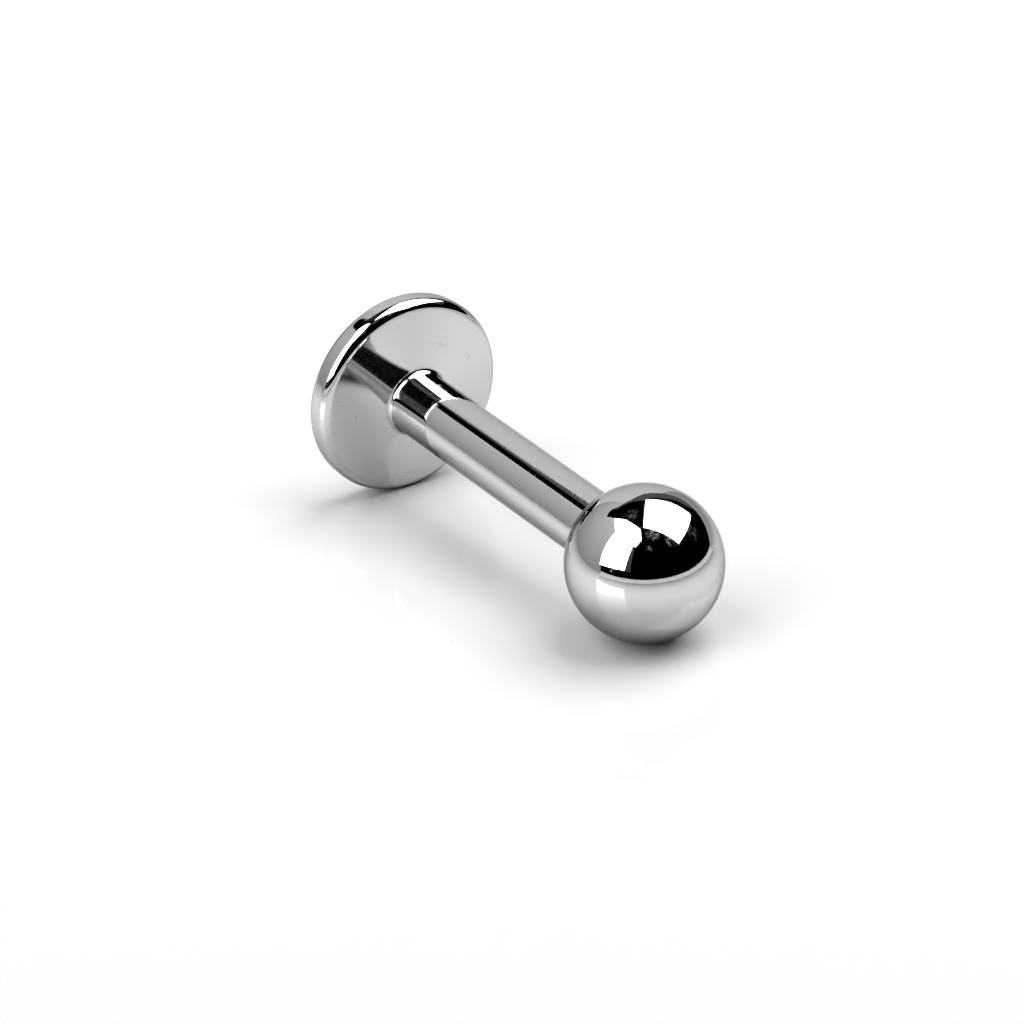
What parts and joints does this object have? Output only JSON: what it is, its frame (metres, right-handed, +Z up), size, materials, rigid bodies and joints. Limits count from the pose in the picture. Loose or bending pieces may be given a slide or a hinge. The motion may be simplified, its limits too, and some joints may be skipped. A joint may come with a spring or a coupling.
{
  "type": "labret stud",
  "caption": "Labret stud lying on its side: flat disc on a straight post, with a ball that screws on and off its threaded end.",
  "frame": {"origin": "centre of the object's box, on the surface that it lies on", "axes": "+X from the disc towards the ball, +Z up, +Y across; the post lies in the X-Z plane and leans down by 3.9 degrees towards the ball"},
  "size_m": [0.01, 0.004, 0.0041],
  "materials": {
    "polished_bar": "machined surgical steel, mirror polished",
    "polished_ball": "tumbled surgical steel ball, mirror polished"
  },
  "bodies": {
    "stud": {"disc_post": "polished_bar"},
    "screw_ball": {"ball": "polished_ball"}
  },
  "joints": [
    {"name": "ball_unscrew", "type": "slide", "parent": "stud", "child": "screw_ball", "axis": [0.9977, 0, -0.0677], "range_m": [0, 0.003]}
  ]
}
